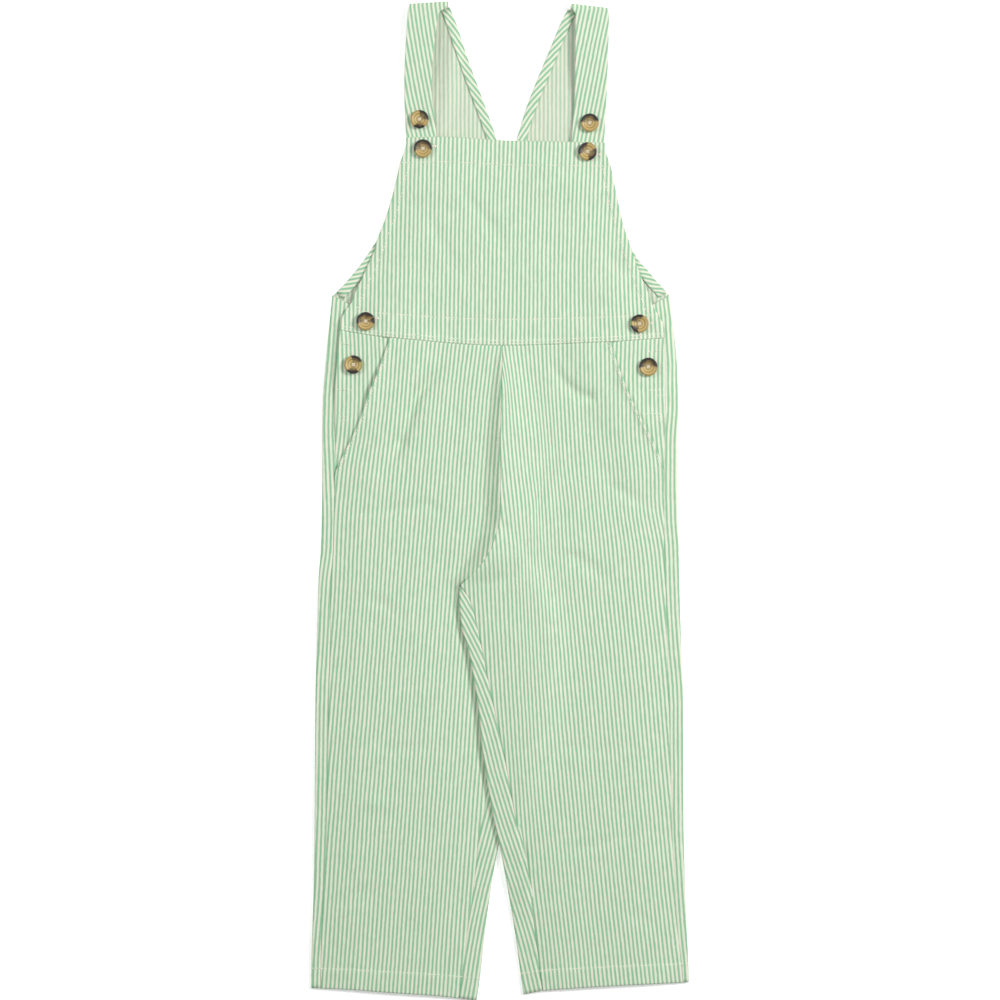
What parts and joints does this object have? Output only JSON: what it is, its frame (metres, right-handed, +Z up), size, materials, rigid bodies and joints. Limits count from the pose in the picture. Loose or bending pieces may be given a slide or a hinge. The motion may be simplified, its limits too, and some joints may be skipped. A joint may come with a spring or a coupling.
{
  "type": "child's bib trousers (dungarees)",
  "caption": "Child's striped bib trousers laid flat: bib with buttoned straps from a cut-in-one back, buttoned side openings, slant pockets and wide legs.",
  "frame": {"origin": "middle of the garment's box, on the surface it lies on", "axes": "+Y from the leg hems up to the shoulders, +X to the right of the garment seen from the front, +Z up from the surface through the front"},
  "size_m": [0.3247, 0.8589, 0.0097],
  "materials": {
    "twill_face": "matt cotton twill, green and cream stripes",
    "twill_inside": "matt cotton twill, paler wrong side",
    "button": "polished, tortoiseshell mottling",
    "thread": "matt cotton sewing thread"
  },
  "bodies": {
    "root": {"bib_front": "twill_face", "front_leg_left": "twill_face", "front_leg_right": "twill_face", "pocket_side_left": "twill_face", "pocket_side_right": "twill_face", "back_left": "twill_face", "back_right": "twill_face", "neck_hem_left": "twill_face", "neck_hem_right": "twill_face", "armhole_hem_left": "twill_face", "armhole_hem_right": "twill_face", "button_strap_left": "button", "button_strap_right": "button", "button_bib_left": "button", "button_bib_right": "button", "button_waist_left": "button", "button_waist_right": "button", "button_placket_left": "button", "button_placket_right": "button"}
  },
  "joints": []
}
